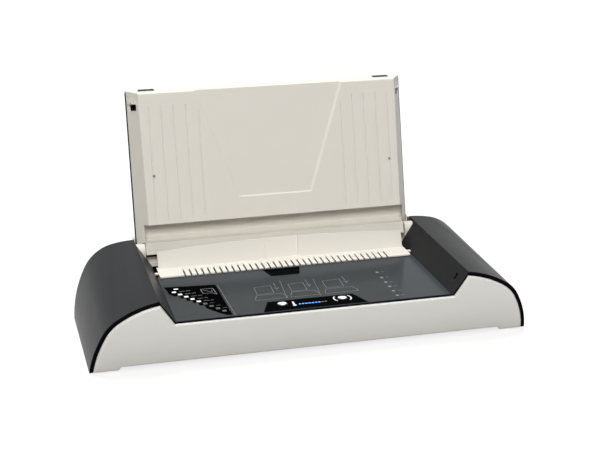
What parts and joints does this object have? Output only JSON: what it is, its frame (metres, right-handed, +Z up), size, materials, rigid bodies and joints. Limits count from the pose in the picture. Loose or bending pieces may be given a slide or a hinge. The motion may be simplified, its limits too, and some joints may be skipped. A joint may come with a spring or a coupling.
{
  "type": "thermal binding machine",
  "caption": "Desktop thermal binding machine with a hinged lid standing open over its document slot, a glossy control panel and arched side housings.",
  "frame": {"origin": "middle of the open machine's box, on the surface the rubber feet stand on", "axes": "+Z up, +Y from the front fascia to the rear, +X to the right as the user faces the machine"},
  "size_m": [0.53, 0.2605, 0.284],
  "materials": {
    "pearl_plastic": "fine satin with a pearl sheen",
    "black_plastic": "fine matte grain",
    "charcoal_plastic": "satin with fine spark grain",
    "gloss_panel": "high gloss",
    "gloss_black": "high gloss",
    "key_plastic": "gloss",
    "blue_lens": "clear tinted",
    "circuit_board": "solder mask",
    "zinc_steel": "zinc plated",
    "steel": "ground",
    "lamp_body": "matte",
    "chip_resin": "matte",
    "white_plastic": "satin",
    "lid_white": "fine grain",
    "cast_aluminium": "machined",
    "heater_film": "silicone sheet",
    "insulation_board": "fibrous",
    "heat_resin": "glass filled",
    "fuse_sleeve": "woven sleeve",
    "lever_plastic": "satin",
    "soft_bumper": "soft",
    "tray_plastic": "moulded grain",
    "foot_rubber": "dull",
    "inlet_resin": "fine grain",
    "contact_metal": "nickel plated",
    "rocker_plastic": "gloss",
    "core_lacquer": "lacquered laminations",
    "relay_shell": "gloss",
    "capacitor_sleeve": "shrunk sleeve"
  },
  "bodies": {
    "case": {"base_tray": "tray_plastic", "board_screws": "zinc_steel", "buzzer": "black_plastic", "capacitor": "capacitor_sleeve", "case_screws": "zinc_steel", "control_board": "circuit_board", "control_strip": "gloss_black", "controller_chip": "chip_resin", "document_guide": "white_plastic", "finger_cup": "black_plastic", "front_fascia": "pearl_plastic", "front_frame": "black_plastic", "guide_screws": "zinc_steel", "heat_sink": "cast_aluminium", "heater_carrier": "heat_resin", "heater_element": "heater_film", "heater_plate": "cast_aluminium", "hinge_pins": "steel", "inlet_blades": "contact_metal", "insulation_pad": "insulation_board", "key_switches": "black_plastic", "lamp_strip": "lamp_body", "left_arch_shell": "charcoal_plastic", "lever_pin": "steel", "mains_inlet": "inlet_resin", "power_board": "circuit_board", "rear_cover": "charcoal_plastic", "rear_housing": "white_plastic", "relay": "relay_shell", "right_arch_shell": "charcoal_plastic", "rubber_feet": "foot_rubber", "sensor_switch": "black_plastic", "status_lenses": "blue_lens", "switch_body": "inlet_resin", "temperature_probe": "steel", "thermal_fuse": "fuse_sleeve", "thermostat": "cast_aluminium", "top_panel": "gloss_panel", "transformer": "core_lacquer"},
    "lid": {"lid_outer_skin": "charcoal_plastic", "lid_inner_panel": "lid_white", "lid_catches": "white_plastic", "lid_buffers": "soft_bumper", "lid_screws": "zinc_steel"},
    "left_key": {"left_key": "key_plastic"},
    "right_key": {"right_key": "key_plastic"},
    "sensor_lever": {"sensor_lever": "lever_plastic"},
    "rocker": {"rocker_cap": "rocker_plastic"}
  },
  "joints": [
    {"name": "lid_hinge", "type": "hinge", "parent": "case", "child": "lid", "pos_m": [0, 0.0816, 0.085], "axis": [1, 0, 0], "range_deg": [0, 103.1]},
    {"name": "left_key_press", "type": "slide", "parent": "case", "child": "left_key", "axis": [0, 0.0576, -0.9983], "range_m": [0, 0.0008], "stiffness_N_per_m": 600, "springref_m": -0.0008},
    {"name": "right_key_press", "type": "slide", "parent": "case", "child": "right_key", "axis": [0, 0.0576, -0.9983], "range_m": [0, 0.0008], "stiffness_N_per_m": 600, "springref_m": -0.0008},
    {"name": "sensor_press", "type": "hinge", "parent": "case", "child": "sensor_lever", "pos_m": [0, 0.0356, 0.0256], "axis": [1, 0, 0], "range_deg": [-7, 0], "stiffness_Nm_per_rad": 0.01, "springref_deg": 11.46},
    {"name": "rocker_tilt", "type": "hinge", "parent": "case", "child": "rocker", "pos_m": [0.186, 0.1074, 0.03], "axis": [1, 0, 0], "range_deg": [0, 18]}
  ]
}
